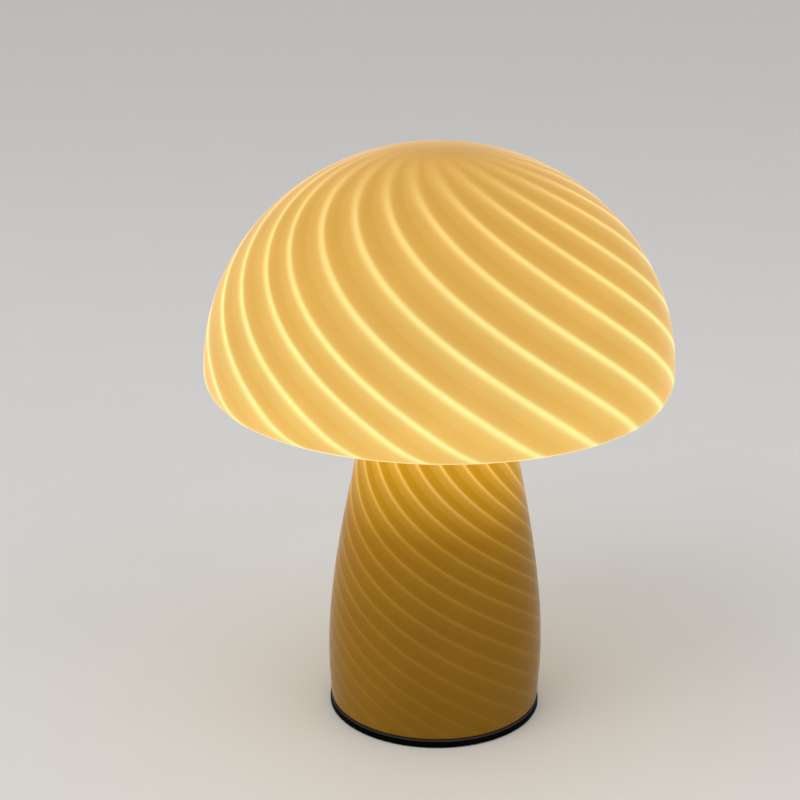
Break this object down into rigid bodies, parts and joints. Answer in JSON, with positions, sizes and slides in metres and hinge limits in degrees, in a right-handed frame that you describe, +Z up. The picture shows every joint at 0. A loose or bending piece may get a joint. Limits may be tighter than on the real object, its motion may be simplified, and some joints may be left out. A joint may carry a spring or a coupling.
{
  "type": "mushroom table lamp",
  "caption": "Table lamp with a domed blown-glass cap resting on a tapering blown-glass stem, both with twisted stripes, on a thin round base, with a small globe bulb inside.",
  "frame": {"origin": "on the table, under the axis of the lamp, at the underside of the foot pad", "axes": "+Z up along the lamp's axis; -Y is the front; +Y is the side where the cord leaves"},
  "size_m": [0.2, 0.2, 0.2536],
  "materials": {
    "cap_glass": "cased amber glass, twisted ribs, glossy",
    "stem_glass": "cased amber glass, twisted ribs, glossy",
    "black_enamel": "satin black enamel on pressed or cast metal",
    "black_rubber": "matt moulded rubber",
    "clear_silicone": "translucent silicone rubber",
    "foam_pad": "closed-cell foam rubber pad",
    "cast_iron": "raw sand-cast iron with turned faces",
    "zinc_steel": "bright zinc plate",
    "brass": "plain brass",
    "holder_plastic": "black thermoset moulding",
    "bulb_cap_nickel": "nickel-plated brass",
    "bulb_white": "white moulded plastic",
    "bulb_opal": "opal diffuser",
    "board_white": "aluminium board with white solder mask",
    "led_yellow": "phosphor over light-emitting chips",
    "board_green": "glass-fibre circuit board"
  },
  "bodies": {
    "stand": {"stem_glass": "stem_glass", "cord_grommet": "black_rubber", "foot_pad": "foam_pad", "base_pan": "black_enamel", "base_weight": "cast_iron", "base_weight_screws": "zinc_steel", "foot_gasket": "black_rubber", "stand_tube": "zinc_steel", "foot_nut": "zinc_steel", "foot_tooth_washer": "zinc_steel", "pan_washer": "zinc_steel", "pan_nut": "zinc_steel", "rim_gasket": "clear_silicone", "cap_seat": "black_enamel", "seat_cushion": "clear_silicone", "holder_ring_nut": "holder_plastic", "holder_cup": "holder_plastic", "holder_lock_screw": "zinc_steel", "holder_insert": "bulb_white", "holder_terminals": "brass", "holder_terminal_screws": "zinc_steel", "holder_sleeve": "holder_plastic", "holder_screw_shell": "bulb_cap_nickel", "holder_centre_contact": "brass", "holder_side_contact": "brass"},
    "cap": {"cap_glass": "cap_glass", "cap_underside": "cap_glass"},
    "bulb": {"bulb_screw_cap": "bulb_cap_nickel", "bulb_insulator": "holder_plastic", "bulb_tip_contact": "brass", "bulb_housing": "bulb_white", "bulb_led_board": "board_white", "bulb_led_chips": "led_yellow", "bulb_driver_board": "board_green", "bulb_globe": "bulb_opal"}
  },
  "joints": [
    {"name": "cap_lift", "type": "slide", "parent": "stand", "child": "cap", "axis": [0, 0, 1], "range_m": [0, 0.12]},
    {"name": "bulb_turn", "type": "hinge", "parent": "stand", "child": "bulb", "pos_m": [0, 0, 0.15], "axis": [0, 0, 1], "range_deg": [0, 1080]}
  ]
}
